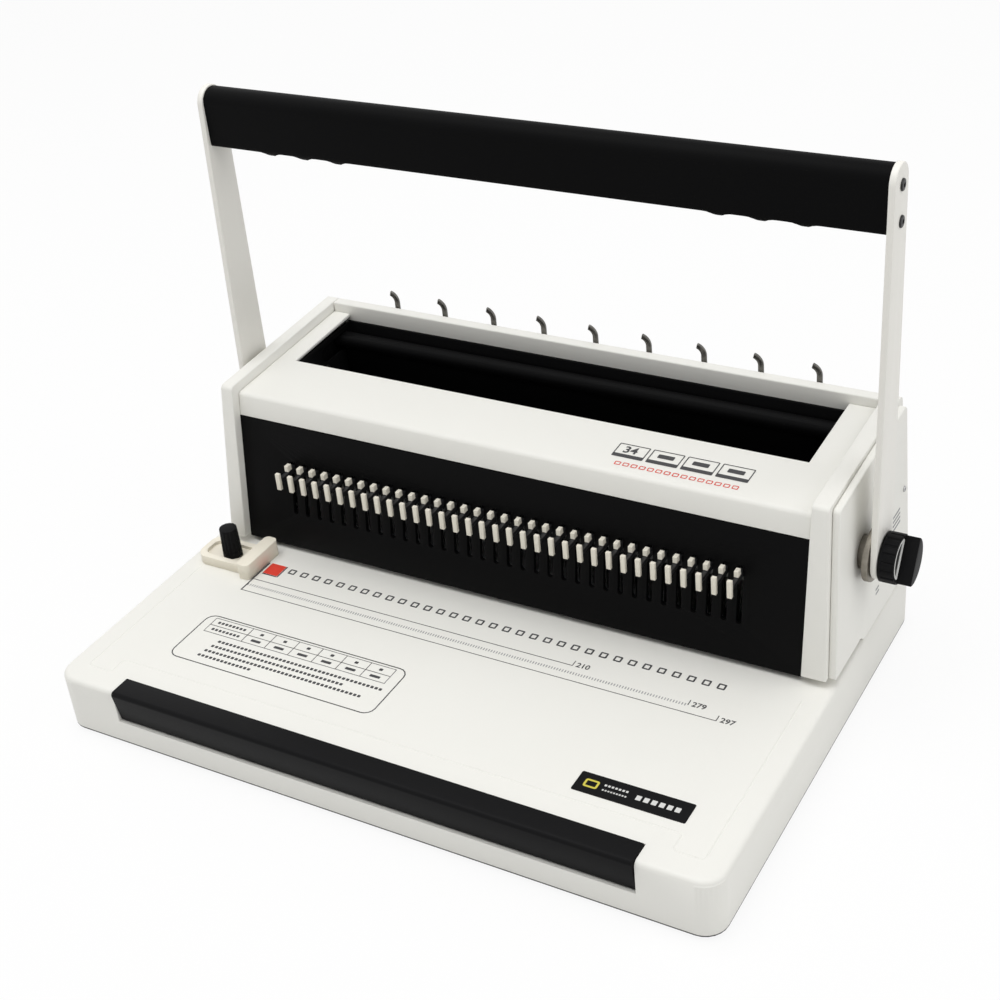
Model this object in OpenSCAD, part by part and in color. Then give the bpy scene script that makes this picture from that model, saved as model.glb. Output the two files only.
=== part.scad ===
// Desk machine that punches a row of square holes and closes binding wire.
// Frame: +X right, -Y front, +Z up. The origin is under the middle of the base, on the table.
// Depths called "from rear" run forward from the rear edge of the base.
// Heights called "up" run up from the top face of the base.

/* [Base] */
// Width of the base
base_w = 393; // [360:1:430]
// Depth of the base
base_d = 275; // [262:1:300]
// Height of the base cover
base_h = 33.5; // [30:0.5:45]
// Wall of the base cover
base_wall = 3; // [2.5:0.1:4]
// Plan radius of the base corners
base_corner = 12; // [6:0.5:20]
// Height of the rubber feet below the base
foot_h = 3.5; // [2:0.5:8]
// Rim of the pan that shows below the base cover
pan_lip = 1.2; // [0.8:0.1:2]
// Diameter of a rubber foot
foot_dia = 18; // [12:1:24]
// Inset of the feet from the base edges
foot_inset = 26; // [20:1:40]
// Thickness of the bottom pan
pan_t = 2; // [1.5:0.1:3]

/* [Tower] */
// Left end of the base to the inside of the left cover
left_ledge = 24; // [20:0.1:26]
// Right end of the base to the inside of the right cover
right_ledge = 18.4; // [17.6:0.1:20]
// Front panel from rear, at the base top
panel_rear = 124; // [119:0.5:129]
// Lean of the tower front, in degrees
lean = 8; // [4:0.5:9]
// Thickness of the front panel
panel_t = 2.5; // [1.5:0.1:2.8]
// Paper gap under the panel and the punch guide
throat = 3; // [2:0.1:3.6]
// Front edge of the top cover, up
top_up = 95; // [92:0.5:98]
// Height of the front lip of the top cover
lip_h = 14.5; // [12:0.5:18]
// Rise of the tower top towards the rear, in degrees
crown = 2.4; // [0:0.1:3]
// Wall of the top cover
top_wall = 2.5; // [2:0.1:2.8]
// Rim of the side and rear covers above the top cover
rim_rise = 5.5; // [4:0.5:10]
// How far the left cover stands proud of the front panel
proud = 5.5; // [3:0.5:7]
// How far the right cover stands proud of the front panel
right_proud = 1.6; // [1:0.1:6]
// Foot of the side covers over the sheets, up
cover_foot = 4.5; // [3.5:0.1:6]
// Step of the rear wall inside the rear edge of the base
rear_ledge = 0.9; // [0.5:0.1:2]
// Thickness of the rear wall with its hem
rear_t = 8; // [7:0.2:10]
// Thickness of the left cover at the rim
left_t = 8; // [6:0.5:9]
// Thickness of the right cover at the rim
right_t = 9; // [7:0.5:9.5]
// Thickness of the right outer shell
shell_t = 4.2; // [3:0.1:4.5]
// Side draft of the left cover, in degrees
draft = 1.4; // [0.5:0.1:1.8]
// Side draft of the right cover and shell, in degrees
right_draft = 2.5; // [1:0.1:2.6]
// Thickness of the steel side frames
frame_t = 2; // [1.5:0.1:2.2]

/* [Punching] */
// Number of holes in the row
hole_count = 34; // [30:1:34]
// Pitch of the hole row
hole_pitch = 8.4667; // [8:0.01:8.6]
// Side of a square punch
punch_w = 4; // [3:0.1:4.4]
// Punch row from rear
punch_rear = 104.5; // [103.5:0.1:105]
// Height of the punch guide
guide_h = 11; // [8:0.5:14]
// Depth of the punch guide and the press bar
bar_d = 14.5; // [12:0.1:14.8]
// Underside of the press bar, up
bar_up = 46; // [44:0.5:47]
// Height of the press bar
bar_h = 16; // [14:0.5:16]
// Thickness of the die plate inside the base
die_t = 4; // [3:0.1:4.5]
// Wire of the return springs
spring_wire = 1.4; // [1:0.1:1.8]
// Mean diameter of the return springs
spring_dia = 9; // [8:0.1:10]
// Curls of a return spring
spring_curls = 7; // [5:1:8]

/* [Pulls] */
// Width of a pull blade
pull_w = 2.4; // [2:0.1:2.8]
// Width of a pull tab
tab_w = 2.6; // [2.4:0.1:4]
// Height of a pull tab
tab_h = 10.4; // [9:0.1:13]
// Foot of a pull tab, up
tab_up = 48.2; // [46:0.1:50]
// Tab face from rear
tab_rear = 131.7; // [129:0.1:135]
// Thickness of a pull tab
tab_t = 2; // [1.6:0.1:3]
// Foot of the pull blade, up
blade_up = 51.8; // [51:0.1:53]
// Height of the pull blade
blade_h = 4.1; // [3:0.1:4.6]
// Panel slot foot, up
slot_up = 24.4; // [22:0.1:28]
// Side clearance of a pull in its slot
slot_clear = 0.4; // [0.25:0.05:0.6]

/* [Lever] */
// Pivot from rear
pivot_rear = 78; // [77.6:0.1:78.4]
// Pivot below the front edge of the top cover
pivot_drop = 39; // [38:0.1:40]
// Radius of the drive shaft
shaft_r = 6.5; // [6:0.1:6.8]
// Thickness of a lever arm
arm_t = 3.5; // [3:0.1:5]
// Radius of an arm at the pivot
arm_foot_r = 12.5; // [11:0.1:14]
// Radius of an arm at the grip
arm_head_r = 9.3; // [8.8:0.1:12]
// Grip middle, up
grip_up = 248.3; // [235:0.1:270]
// Grip middle behind the pivot
grip_back = 5.5; // [0:0.5:6]
// Height of the grip
grip_h = 31.5; // [26:0.5:36]
// Depth of the grip
grip_d = 16; // [14:0.5:17]
// Height of a finger bump under the grip
bump_h = 2.7; // [1.5:0.1:4]
// Pitch of the finger bumps
bump_pitch = 21.7; // [18:0.1:26]
// First finger bump from the arms
bump_inset = 40; // [30:0.5:60]
// Half width of a finger bump
bump_half = 3.4; // [2:0.1:6]
// Forward pull of the lever, in degrees
lever_swing = 60; // [50:1:60]
// Radius of the press pins about the shaft
press_throw = 18; // [17.8:0.1:18.5]
// Radius of the closing pins about the shaft
close_throw = 20; // [19:0.1:21]

/* [Dial] */
// Diameter of the dial
dial_dia = 26.5; // [24:0.5:32]
// Thickness of the dial body
dial_t = 8.2; // [6:0.1:12]
// Height of the finger bar on the dial
dial_bar_h = 7.2; // [3:0.1:9]
// Notches round the dial
dial_notches = 18; // [8:1:24]
// Radius of the dial spindle
spindle_r = 3; // [2.5:0.1:3.4]
// Wall of the hub sleeve round the right end of the shaft
hub_wall = 2; // [1:0.1:3]
// Length of the hub sleeve outside the side frame
hub_l = 22.5; // [22:0.1:24]
// Radius of the hub plate on the sleeve
hub_plate_r = 14.8; // [12:0.1:16]
// Thickness of the hub plate
hub_plate_t = 3.3; // [2:0.1:4]

/* [Wire chamber] */
// Room between the wire chamber and the nearer side cover
side_room = 12; // [12:0.1:20]
// Front wall of the chamber from rear
chamber_rear = 68.5; // [67:0.1:69]
// Depth of the chamber below the top cover
chamber_deep = 45; // [30:0.5:48]
// Sheet of the wire trough
trough_t = 1.5; // [1:0.1:1.6]
// Radius of the closing bar
close_r = 5; // [4:0.1:5.5]
// Closing bar from rear
close_rear = 17.5; // [16:0.1:21]
// Closing bar below the front edge of the top cover
close_drop = 9.5; // [9:0.1:14]
// Number of wire hooks on the rear
hook_count = 9; // [5:1:9]
// Hole pitches from hook to hook
hook_step = 4; // [3:1:4]

/* [Tray and stop] */
// Width of the chip tray strip
tray_w = 309.6; // [300:0.2:320]
// Height of the strip on the front face
tray_h = 19.6; // [17:0.1:21]
// Depth of the strip on the top face
strip_d = 12.4; // [8:0.1:15]
// Rear end of the chip tray from rear
tray_rear = 79; // [70:1:87]
// Paper stop: edge to the middle of the first hole
stop_edge = 10.3; // [8:0.1:12]
// Paper stop: width
stop_w = 41.5; // [36:0.5:46]
// Paper stop: depth
stop_d = 30; // [26:0.5:31]
// Paper stop: depth of the plate
stop_plate_d = 22; // [20:0.5:26]
// Paper stop: height of the raised bar
stop_h = 10; // [8:0.5:14]
// Paper stop: height of the plate
stop_plate_h = 6; // [4:0.5:8]
// Paper stop: depth of the pocket round the knob
stop_pocket = 2.2; // [1:0.1:3]
// Paper stop: travel to either side
stop_travel = 3; // [1:0.5:4]
// Stop knob: diameter
knob_dia = 10.4; // [9:0.1:14]
// Stop knob: height
knob_h = 18.4; // [12:0.1:22]

/* [Hidden] */
$fn = 48;
// Running gap between sliding and seated faces
gap = 0.3;
// Slim gap between covers and at guided faces
seam = 0.15;
// Radial clearance of a running shaft
run = 0.06;
// Sheet of the tray and thin plates
sheet = 1.8;
// Radius of the drive pins
pin_r = 3.5;
// Play of a drive pin in its slot
pin_play = 0.6;
// Wall round a drive pin
pin_wall = 2.5;
// Thickness of a lever plate and of a link plate
plate_t = 3;

function fy(d) = d - base_d / 2;
function fz(u) = foot_h + base_h + u;
function ry(d) = base_d / 2 - d;
function panel_y(u) = ry(panel_rear) + u * tan(lean);
function top_at(y) = top_up + (y - panel_y(top_up)) * tan(crown);
function hole_x(i) = tower_off + (i - (hole_count - 1) / 2) * hole_pitch;
function pull_name(i) = str("pull_", i < 9 ? "0" : "", i + 1);
function arc(c, r, a0, a1, n = 8) =
    [for (k = [0:n]) c + r * [cos(a0 + (a1 - a0) * k / n), sin(a0 + (a1 - a0) * k / n)]];

in_left = -base_w / 2 + left_ledge;
in_right = base_w / 2 - right_ledge;
tower_off = (in_left + in_right) / 2;
panel_top = top_up - lip_h;
pivot_up = top_up - pivot_drop;
close_up = top_up - close_drop;
chamber_w = 2 * (min(-in_left, in_right) - side_room);
frame_left = in_left + seam + frame_t;
frame_right = in_right - seam - frame_t;
rear_out = ry(rear_ledge);
rear_in = rear_out - rear_t;
punch_y = ry(punch_rear);
rim_up = top_at(rear_out) + rim_rise;
hub_r = shaft_r + run + hub_wall;
edge_r = 3;
pivot = [ry(pivot_rear), fz(pivot_up)];
press_angle = 180 - lever_swing / 2;
close_angle = 90 - lever_swing / 2;
press_pin = pivot + press_throw * [cos(press_angle), sin(press_angle)];
close_pin = pivot + close_throw * [cos(close_angle), sin(close_angle)];
press_travel = 2 * press_throw * sin(lever_swing / 2);
close_travel = 2 * close_throw * sin(lever_swing / 2);
trough_x = chamber_w / 2 + trough_t;
lever_x = trough_x + 0.5;
link_x = lever_x + plate_t + 1;
arm_left = in_left - left_t - (rim_up - pivot_up) * tan(draft) - 2.4;
arm_right = in_right + hub_l + 0.6;
bar_y0 = punch_y - bar_d / 2;
bar_y1 = punch_y + bar_d / 2;
spring_x = (hole_count + 1.8) / 2 * hole_pitch;
spring_low = fz(throat + guide_h) + spring_wire / 2;
spring_high = fz(bar_up) - spring_wire / 2;
slot_w = pull_w + 2 * slot_clear;
tray_gap = 0.5;
die_margin = 15;
die_half = 10;
die_y0 = punch_y - die_half;
die_y1 = punch_y + die_half;
die_flange = 3;
knob_stem_r = 3;
tray_floor = -tray_h + 0.2;
stop_right = hole_x(0) - stop_edge;
stop_mid = stop_right - stop_w / 2 - 1.5;

// Profile in the YZ plane, extruded from x0 to x1
module side(x0, x1) {
    translate([x0, 0, 0]) rotate([90, 0, 90]) linear_extrude(height = x1 - x0) children();
}

// Profile in the XZ plane, extruded from y0 to y1
module front(y0, y1) {
    translate([0, y1, 0]) rotate([90, 0, 0]) linear_extrude(height = y1 - y0) children();
}

// Box given by its lowest and highest corners
module box(low, high) {
    translate(low) cube(high - low);
}

// Cylinder along X through a point of the YZ plane
module x_cyl(x0, x1, c, r) {
    translate([x0, c[0], c[1]]) rotate([0, 90, 0]) cylinder(h = x1 - x0, r = r);
}

// Rectangle with round corners, centred
module round_rect(w, d, r) {
    square([w - 2 * r, d], center = true);
    square([w, d - 2 * r], center = true);
    for (sx = [-1, 1], sy = [-1, 1]) translate([sx * (w / 2 - r), sy * (d / 2 - r)]) circle(r);
}

// Bar with round ends of two radii between two points
module link2(a, ra, b, rb) {
    span = norm(b - a);
    turn = atan2(b[1] - a[1], b[0] - a[0]);
    tilt = acos((ra - rb) / span);
    translate(a) circle(ra);
    translate(b) circle(rb);
    polygon([for (p = [[a, ra, tilt], [b, rb, tilt], [b, rb, -tilt], [a, ra, -tilt]])
        p[0] + p[1] * [cos(turn + p[2]), sin(turn + p[2])]]);
}

// One shape at every hole of the row
module along_row() {
    for (i = [0:hole_count - 1]) translate([hole_x(i), 0, 0]) children();
}

// Moulded tray-shaped cover, with the tray's mouth and the window of the die
module base_cover() color("ivory") {
    inner_w = base_w - 2 * base_wall;
    inner_d = base_d - 2 * base_wall;
    notch_w = tray_w + 2 * tray_gap;
    difference() {
        union() {
            translate([0, 0, foot_h]) linear_extrude(height = base_h - edge_r)
                round_rect(base_w, base_d, base_corner);
            hull() for (k = [0:4]) {
                a = k * 90 / 4;
                inset = edge_r * (1 - cos(a));
                translate([0, 0, fz(-edge_r) + edge_r * sin(a) - (k == 4 ? 0.01 : 0)])
                    linear_extrude(height = 0.01)
                    round_rect(base_w - 2 * inset, base_d - 2 * inset, base_corner - inset, $fn = 32);
            }
        }
        translate([0, 0, foot_h - 1]) linear_extrude(height = base_h - base_wall + 1)
            round_rect(inner_w, inner_d, base_corner - base_wall);
        box([-notch_w / 2, fy(-1), fz(-tray_h - tray_gap)],
            [notch_w / 2, fy(strip_d + tray_gap), fz(1)]);
        box([in_left + die_margin, die_y0, fz(-base_wall - 1)], [in_right - die_margin, die_y1, fz(1)]);
    }
}

// Floor plate in the foot of the base cover, with its rim below the cover and the two tray rails
module bottom_pan() color("dimgray") {
    pan_gap = 0.2;
    lip_in = 0.7;
    rail_w = 6;
    translate([0, 0, foot_h - pan_lip]) linear_extrude(height = pan_lip - pan_gap)
        round_rect(base_w - 2 * lip_in, base_d - 2 * lip_in, base_corner - lip_in);
    translate([0, 0, foot_h - pan_gap]) linear_extrude(height = pan_t + pan_gap)
        round_rect(base_w - 2 * (base_wall + pan_gap), base_d - 2 * (base_wall + pan_gap),
            base_corner - base_wall - pan_gap);
    for (s = [-1, 1]) translate([s * (tray_w / 2 - 20), 0, 0])
        box([-rail_w / 2, fy(base_wall + 2), foot_h + pan_t],
            [rail_w / 2, ry(tray_rear), fz(tray_floor - gap)]);
}

// Feet under the corners of the pan, and one under the middle against the punching force
module rubber_feet() color("black") {
    corner = [base_w / 2 - foot_inset, base_d / 2 - foot_inset];
    for (at = [[0, 0], [-1, -1], [-1, 1], [1, -1], [1, 1]])
        translate([at[0] * corner[0], at[1] * corner[1], 0])
            cylinder(h = foot_h - pan_lip, d1 = foot_dia - 2, d2 = foot_dia);
}

// Chip drawer: pan under the die, with the black finger strip over the front edge of the base
module chip_tray() color("black") {
    lip = 1.6;
    lip_t = 3.4;
    lip_r = 2.2;
    front_in = 1.6;
    wall_in = front_in + 2 * sheet;
    wall_top = -base_wall - die_t - 1;
    body_w = tray_w - 2;
    difference() {
        box([-body_w / 2, fy(front_in), fz(tray_floor)], [body_w / 2, ry(tray_rear), fz(wall_top)]);
        box([-body_w / 2 + sheet, fy(wall_in), fz(tray_floor + sheet)],
            [body_w / 2 - sheet, ry(tray_rear + sheet), fz(wall_top + 1)]);
    }
    side(-tray_w / 2, tray_w / 2) polygon(concat(
        [[fy(strip_d), fz(1 - lip_t)], [fy(strip_d), fz(1)]],
        arc([fy(lip_r - lip), fz(1 - lip_r)], lip_r, 90, 190),
        [[fy(front_in), fz(tray_floor)], [fy(wall_in), fz(tray_floor)], [fy(wall_in), fz(1 - lip_t)]]));
}

// Sliding edge guide: a plate with a slot for the clamp knob, and the bar that sheets are set against
module paper_stop() color("antiquewhite") {
    y1 = panel_y(0) - proud - 1;
    y0 = y1 - stop_d;
    bar_w = 8.5;
    tip_r = 7;
    rim = 3.6;
    pocket_w = stop_w - bar_w - rim;
    bar_edge = 3;
    bar_more = 1.5;
    knob_y = (y0 + y1) / 2;
    difference() {
        union() {
            translate([stop_right - stop_w / 2, knob_y, fz(0)]) linear_extrude(height = stop_plate_h)
                round_rect(stop_w, stop_plate_d, tip_r);
            translate([stop_right - bar_w / 2, knob_y + bar_more / 2, fz(0)]) linear_extrude(height = stop_h)
                round_rect(bar_w, stop_d + bar_more, bar_edge);
        }
        translate([stop_right - bar_w - pocket_w / 2, knob_y, fz(stop_plate_h - stop_pocket)])
            linear_extrude(height = stop_h) round_rect(pocket_w, stop_plate_d - 2 * rim, tip_r - rim / 2);
        for (dx = [-1, 1] * (stop_travel + gap)) translate([stop_mid + dx, knob_y, fz(-1)])
            cylinder(h = stop_plate_h + 2, r = knob_stem_r + gap);
        box([stop_mid - stop_travel - gap, knob_y - knob_stem_r - gap, fz(-1)],
            [stop_mid + stop_travel + gap, knob_y + knob_stem_r + gap, fz(stop_plate_h + 1)]);
    }
}

// Fluted clamp knob on its stem
module stop_knob() color("black") {
    flutes = 14;
    knob_low = stop_plate_h - stop_pocket + gap;
    knob_y = panel_y(0) - proud - 1 - stop_d / 2;
    translate([stop_mid, knob_y, 0]) {
        difference() {
            translate([0, 0, fz(knob_low)]) cylinder(h = knob_h, d1 = knob_dia + 1.2, d2 = knob_dia);
            for (k = [0:flutes - 1]) rotate(k * 360 / flutes)
                translate([knob_dia / 2 + 0.9, 0, fz(knob_low + 3)]) cylinder(h = knob_h, r = 1.1);
        }
        translate([0, 0, fz(0)]) cylinder(h = knob_low, r = knob_stem_r);
    }
}

// Leaning black panel with one upright slot for each pull
module front_panel() color([0.09, 0.09, 0.09]) {
    slot_top = blade_up + blade_h + 2;
    round_z = fz(slot_up) + slot_w / 2;
    difference() {
        side(in_left + seam, in_right - seam) polygon([
            [panel_y(throat), fz(throat)], [panel_y(panel_top), fz(panel_top)],
            [panel_y(panel_top) + panel_t, fz(panel_top)], [panel_y(throat) + panel_t, fz(throat)]]);
        along_row() front(panel_y(0), panel_y(panel_top) + panel_t) {
            translate([-slot_w / 2, round_z]) square([slot_w, fz(slot_top) - round_z]);
            translate([0, round_z]) circle(slot_w / 2, $fn = 20);
        }
    }
}

// Front lip and top plate in one moulding, open round the wire chamber
module top_cover() color("ivory") {
    lip_y = panel_y(panel_top + seam);
    edge_u = top_up - edge_r;
    edge_c = [panel_y(edge_u) + edge_r / cos(lean), fz(edge_u)];
    rear_y = rear_in - seam;
    fold_y = panel_y(top_up - top_wall) + top_wall;
    difference() {
        side(in_left + seam, in_right - seam) polygon(concat(
            [[lip_y + top_wall, fz(panel_top + seam)], [lip_y, fz(panel_top + seam)]],
            arc(edge_c, edge_r, 180 - lean, 90 + crown),
            [[rear_y, fz(top_at(rear_y))], [rear_y, fz(top_at(rear_y) - top_wall)],
             [fold_y, fz(top_at(fold_y) - top_wall)]]));
        box([-chamber_w / 2, ry(chamber_rear), fz(top_up - top_wall - 1)],
            [chamber_w / 2, rear_y + 1, fz(rim_up)]);
    }
}

// Side outline of a cover: front set from the panel, ends set in, top below the rim
module cover_outline(front_set, rear_set, drop) {
    foot = 0.6;
    step_back = 8;
    step_y = die_y1 + die_flange + step_back;
    front_u = top_up + rim_rise - drop - edge_r;
    front_c = [panel_y(front_u) + front_set + edge_r / cos(lean), fz(front_u)];
    rear_c = [rear_out - rear_set - edge_r, fz(rim_up - drop - edge_r)];
    polygon(concat(
        [[rear_out - rear_set, fz(foot)], [step_y + cover_foot, fz(foot)],
         [step_y, fz(cover_foot)], [panel_y(cover_foot) + front_set, fz(cover_foot)]],
        arc(front_c, edge_r, 180 - lean, 90 + crown), arc(rear_c, edge_r, 90 + crown, 0)));
}

// Pocket inside a side cover, behind the panel and below the top cover
module cover_pocket() {
    border = 14;
    post_r = shaft_r + 8;
    difference() {
        polygon([[panel_y(border) + border, fz(border)], [rear_in - border / 2, fz(border)],
            [rear_in - border / 2, fz(top_up - border)], [panel_y(top_up) + border, fz(top_up - border)]]);
        translate(pivot) circle(post_r);
    }
}

// Left cover with its drafted outer face and the boss round the shaft
module left_cover() color("ivory") {
    foot_x = in_left - left_t - rim_up * tan(draft);
    rim_x = in_left - left_t;
    wall = 3;
    boss_r = 15;
    difference() {
        union() {
            intersection() {
                side(foot_x, in_left) cover_outline(-proud, 0, 0);
                front(fy(0), fy(base_d)) polygon([[in_left, fz(0)], [foot_x, fz(0)],
                    [rim_x, fz(rim_up)], [in_left, fz(rim_up)]]);
            }
            x_cyl(arm_left + 0.6, in_left - left_t / 2, pivot, boss_r);
        }
        side(rim_x + wall, in_left + 1) cover_pocket();
        x_cyl(foot_x - 5, in_left + 1, pivot, shaft_r + gap);
    }
}

// Right inner cover
module right_cover() color("ivory") {
    wall = 3;
    foot_x = in_right + right_t + rim_up * tan(right_draft);
    difference() {
        intersection() {
            side(in_right, foot_x) cover_outline(-right_proud, 0, 0);
            front(fy(0), fy(base_d)) polygon([[in_right, fz(0)], [foot_x, fz(0)],
                [in_right + right_t, fz(rim_up)], [in_right, fz(rim_up)]]);
        }
        side(in_right - 1, in_right + right_t - wall) cover_pocket();
        x_cyl(in_right - 1, foot_x + 1, pivot, hub_r + gap);
    }
}

// Thin outer shell of the right side, bored for the hub sleeve
module right_shell() color("ivory") {
    front_step = 3.5;
    rear_set = 5.5;
    drop = 2.2;
    rim_x = in_right + right_t + seam;
    foot_x = rim_x + rim_up * tan(right_draft);
    difference() {
        intersection() {
            side(rim_x, foot_x + shell_t) cover_outline(front_step - right_proud, rear_set, drop);
            front(fy(0), fy(base_d)) polygon([[foot_x, fz(0)], [foot_x + shell_t, fz(0)],
                [rim_x + shell_t, fz(rim_up)], [rim_x, fz(rim_up)]]);
        }
        x_cyl(rim_x - 1, foot_x + shell_t + 1, pivot, hub_r + gap);
    }
}

// Rear wall with the hem that closes the wire chamber
module rear_cover() color("ivory") {
    wall = 3;
    hem = 14;
    side(in_left + seam, in_right - seam) difference() {
        polygon(concat([[rear_out, fz(0.6)], [rear_in, fz(0.6)], [rear_in, fz(top_at(rear_in) + rim_rise)]],
            arc([rear_out - edge_r, fz(rim_up - edge_r)], edge_r, 90 + crown, 0)));
        polygon([[rear_out - wall, fz(-1)], [rear_in - 1, fz(-1)], [rear_in - 1, fz(rim_up - hem)],
            [rear_in + wall, fz(rim_up - hem)], [rear_in + wall, fz(rim_up - wall)],
            [rear_out - wall, fz(rim_up - wall)]]);
    }
}

// Two steel plates that carry the shaft and tie the tower to the base
module side_frames() color("darkgray") {
    top = top_up - top_wall - 1;
    for (x = [in_left + seam, in_right - seam - frame_t]) difference() {
        side(x, x + frame_t) polygon([
            [panel_y(0) + panel_t + 1, fz(0)], [rear_in - 2, fz(0)],
            [rear_in - 2, fz(top)], [panel_y(top) + panel_t + 1, fz(top)]]);
        x_cyl(x - 1, x + frame_t + 1, pivot, shaft_r + run);
    }
}

// Black folded trough that holds the wire; its end walls are slotted for the closing bar
module wire_trough() color([0.06, 0.06, 0.06]) {
    y0 = ry(chamber_rear);
    y1 = rear_in - seam - trough_t;
    out_y0 = y0 - trough_t;
    out_y1 = y1 + trough_t;
    below = top_wall + seam;
    rear_drop = 2;
    floor_z = fz(top_up - chamber_deep);
    slot_r = close_r + 0.4;
    difference() {
        side(-trough_x, trough_x) polygon([[out_y0, floor_z - trough_t], [out_y1, floor_z - trough_t],
            [out_y1, fz(top_at(out_y1) - below - rear_drop)], [out_y0, fz(top_at(out_y0) - below)]]);
        box([-chamber_w / 2, y0, floor_z], [chamber_w / 2, y1, fz(rim_up)]);
        for (dy = [0, -close_travel])
            x_cyl(-trough_x - 1, trough_x + 1, [ry(close_rear) + dy, fz(close_up)], slot_r);
        box([-trough_x - 1, ry(close_rear) - close_travel, fz(close_up) - slot_r],
            [trough_x + 1, ry(close_rear), fz(close_up) + slot_r]);
    }
}

// Round bar with a blade, and the two link plates that take it to the drive levers
module closing_bar() color([0.1, 0.1, 0.1]) {
    rod = [ry(close_rear), fz(close_up)];
    blade_t = 4;
    blade_low = top_up - chamber_deep + 8;
    slot_half = pin_r + pin_play;
    slot_low = close_pin[1] - slot_half;
    slot_high = pivot[1] + close_throw + slot_half;
    x_cyl(-link_x - plate_t, link_x + plate_t, rod, close_r);
    box([-chamber_w / 2 + 1, rod[0] - blade_t / 2, fz(blade_low)],
        [chamber_w / 2 - 1, rod[0] + blade_t / 2, rod[1]]);
    for (x = [-link_x - plate_t, link_x]) side(x, x + plate_t) difference() {
        polygon([[close_pin[0] - slot_half - pin_wall, slot_low - pin_wall],
            [rod[0] + close_r, slot_low - pin_wall], [rod[0] + close_r, rod[1] + close_r],
            [close_pin[0] - slot_half - pin_wall, slot_high + pin_wall]]);
        translate([close_pin[0] - slot_half, slot_low]) square([2 * slot_half, slot_high - slot_low]);
    }
}

// Hardened plate flush with the base top, with one square hole for each punch
module die_plate() color("silver") {
    play = 0.2;
    x0 = in_left + die_margin;
    x1 = in_right - die_margin;
    difference() {
        union() {
            box([x0 + play, die_y0 + play, fz(-base_wall)], [x1 - play, die_y1 - play, fz(0)]);
            box([x0 - die_flange, die_y0 - die_flange, fz(-base_wall - die_t)],
                [x1 + die_flange, die_y1 + die_flange, fz(-base_wall)]);
        }
        along_row() punch_hole(-base_wall - die_t - 1, 1);
    }
}

// Clearance hole of a punch from one height to another
module punch_hole(u0, u1) {
    half = punch_w / 2 + seam / 2;
    box([-half, punch_y - half, fz(u0)], [half, punch_y + half, fz(u1)]);
}

// Bar between the frames that guides the punches and strips the sheets
module punch_guide() color("gray") {
    difference() {
        box([frame_left + seam, bar_y0, fz(throat)], [frame_right - seam, bar_y1, fz(throat + guide_h)]);
        along_row() punch_hole(throat - 1, throat + guide_h + 1);
    }
}

// Square punches, their tips just inside the guide
module punches() color("silver") {
    rest = 0.5;
    along_row() box([-punch_w / 2, punch_y - punch_w / 2, fz(throat + rest)],
        [punch_w / 2, punch_y + punch_w / 2, fz(bar_up)]);
}

// Bar that drives the punches, channelled for the pulls, with a slotted lug at each end
module press_bar() color("slategray") {
    end_x = trough_x - 0.2;
    lug_t = 3.5;
    half = pin_r + pin_play;
    slot_y0 = pivot[0] - press_throw - half;
    slot_y1 = press_pin[0] + half;
    play = 0.3;
    difference() {
        union() {
            box([-end_x, bar_y0, fz(bar_up)], [end_x, bar_y1, fz(bar_up + bar_h)]);
            for (x = [-end_x, end_x - lug_t]) box([x, slot_y0 - pin_wall, fz(bar_up)],
                [x + lug_t, slot_y1 + pin_wall, press_pin[1] + half + pin_wall]);
        }
        along_row() box([-slot_w / 2, bar_y0 - 1, fz(blade_up - play)],
            [slot_w / 2, punch_y + punch_w / 2 - play, fz(blade_up + blade_h + play)]);
        for (x = [-end_x - 1, end_x - lug_t - 1]) box([x, slot_y0, press_pin[1] - half],
            [x + lug_t + 2, slot_y1, press_pin[1] + half]);
        for (x = [-end_x - 1, end_x - lug_t - 1]) box([x, bar_y1 + 1, fz(bar_up - 1)],
            [x + lug_t + 2, slot_y1 + pin_wall + 1, press_pin[1] - half - pin_wall]);
    }
}

// Points on the centre line of a return spring, from the guide up to the press bar
function spring_point(t, turn) =
    [spring_dia / 2 * cos(turn), spring_dia / 2 * sin(turn), spring_low + (spring_high - spring_low) * t];

// One coiled tube, six-sided, eight rings to a curl
module coil() {
    sides = 6;
    rings = 8 * spring_curls;
    last = rings * sides;
    points = [for (k = [0:rings], s = [0:sides - 1])
        let (turn = 360 * spring_curls * k / rings, out = [cos(turn), sin(turn), 0])
        spring_point(k / rings, turn) + spring_wire / 2 * (cos(60 * s) * out + [0, 0, sin(60 * s)])];
    walls = [for (k = [0:rings - 1], s = [0:sides - 1])
        let (a = k * sides + s, b = k * sides + (s + 1) % sides)
        each [[a, a + sides, b], [b, a + sides, b + sides]]];
    caps = [for (s = [1:sides - 2]) each [[0, s, s + 1], [last, last + s + 1, last + s]]];
    polyhedron(points, concat(walls, caps));
}

// Two springs that lift the press bar
module return_springs() color("lightgray") {
    echo(return_spring_least_gap_between_curls = (spring_high - spring_low) / spring_curls - spring_wire);
    for (s = [-1, 1]) translate([tower_off + s * spring_x, punch_y, 0]) coil();
}

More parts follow.
